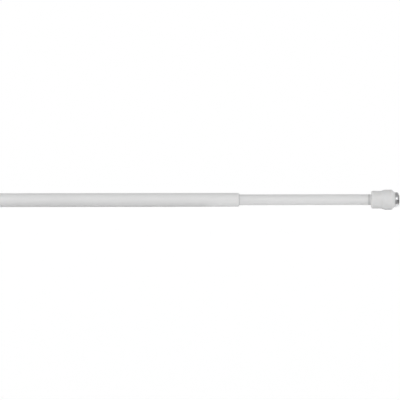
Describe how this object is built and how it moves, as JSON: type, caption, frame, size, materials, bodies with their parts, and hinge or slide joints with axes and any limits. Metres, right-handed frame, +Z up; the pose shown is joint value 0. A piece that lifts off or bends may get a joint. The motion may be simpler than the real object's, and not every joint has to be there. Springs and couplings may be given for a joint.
{
  "type": "spring tension rod",
  "caption": "Telescopic tension rod: a thin white tube slides in a thicker one, with a twist lock and spring inside and a stepped collar, metal foot and rubber pad at each end.",
  "frame": {"origin": "middle of the contact face of the pad on the thick tube's end", "axes": "+X along the rod, from the thick tube's end to the thin tube's end; +Z up as hung across a window"},
  "size_m": [0.606, 0.023, 0.023],
  "materials": {
    "enamel": "white enamel on steel tube",
    "collar_plastic": "white moulded, satin",
    "bright_metal": "bright plated steel, turned",
    "pad_rubber": "dark matt",
    "nylon": "natural, moulded",
    "zinc": "zinc plated",
    "spring_steel": "drawn wire"
  },
  "bodies": {
    "outer_end": {"outer_foot": "bright_metal", "outer_pad": "pad_rubber", "outer_foot_clip": "zinc"},
    "outer": {"outer_tube": "enamel", "outer_collar": "collar_plastic"},
    "guide": {"guide_ring": "nylon"},
    "stem": {"lock_stem": "zinc", "cam_washer": "zinc", "cam_screw": "zinc", "spring": "spring_steel"},
    "cam": {"lock_cam": "nylon"},
    "inner": {"inner_tube": "enamel", "inner_collar": "collar_plastic", "end_bush": "nylon", "spring_stop": "nylon"},
    "inner_end": {"inner_foot": "bright_metal", "inner_pad": "pad_rubber", "inner_foot_clip": "zinc"}
  },
  "joints": [
    {"name": "outer_foot_swivel", "type": "hinge", "parent": "outer_end", "child": "outer", "pos_m": [0.0046, 0, 0], "axis": [1, 0, 0], "continuous": true},
    {"name": "telescope", "type": "slide", "parent": "outer", "child": "guide", "axis": [1, 0, 0], "range_m": [-0.124, 0.104]},
    {"name": "twist", "type": "hinge", "parent": "guide", "child": "stem", "pos_m": [0.1895, 0, 0], "axis": [1, 0, 0], "continuous": true},
    {"name": "cam_turn", "type": "hinge", "parent": "stem", "child": "cam", "pos_m": [0.1794, 0, 0.001], "axis": [1, 0, 0], "range_deg": [-20, 20]},
    {"name": "spring_slide", "type": "slide", "parent": "stem", "child": "inner", "axis": [1, 0, 0], "range_m": [-0.025, 0], "stiffness_N_per_m": 900, "springref_m": 0.011, "deforming": ["spring"]},
    {"name": "inner_foot_swivel", "type": "hinge", "parent": "inner", "child": "inner_end", "pos_m": [0.6014, 0, 0], "axis": [1, 0, 0], "continuous": true}
  ]
}
